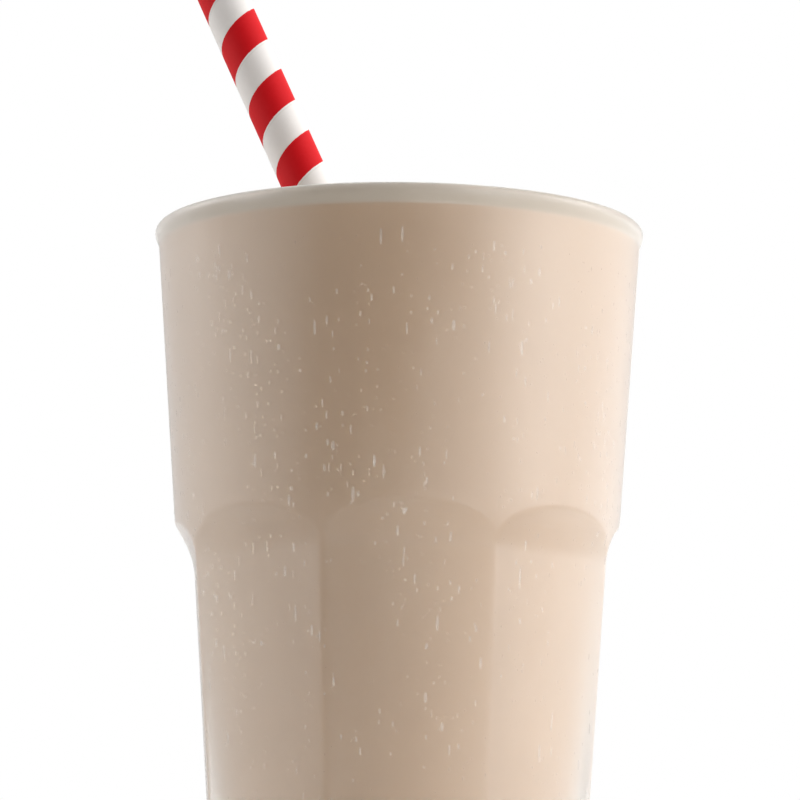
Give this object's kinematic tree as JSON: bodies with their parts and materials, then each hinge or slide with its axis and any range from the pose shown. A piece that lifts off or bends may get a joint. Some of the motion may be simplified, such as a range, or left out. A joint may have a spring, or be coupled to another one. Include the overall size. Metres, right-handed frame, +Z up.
{
  "type": "milkshake in a glass",
  "caption": "Chocolate milkshake filled almost to the brim of a thick pressed glass tumbler with flat arched panels, with a striped paper straw leaning on the rim.",
  "frame": {"origin": "centre of the tumbler's foot, on the table it stands on", "axes": "+Z up along the tumbler's centre line; the front panel faces -Y, turned about three degrees towards +X; the straw leans to -X and +Y"},
  "size_m": [0.0997, 0.1054, 0.2428],
  "materials": {
    "clear_glass": "clear, polished, thick pressed glass",
    "milkshake": "opaque, smooth, slightly frothy chocolate milkshake",
    "striped_paper": "white paper with a red spiral stripe, matte"
  },
  "bodies": {
    "root": {"glass_tumbler": "clear_glass", "milkshake": "milkshake", "paper_straw": "striped_paper"}
  },
  "joints": []
}
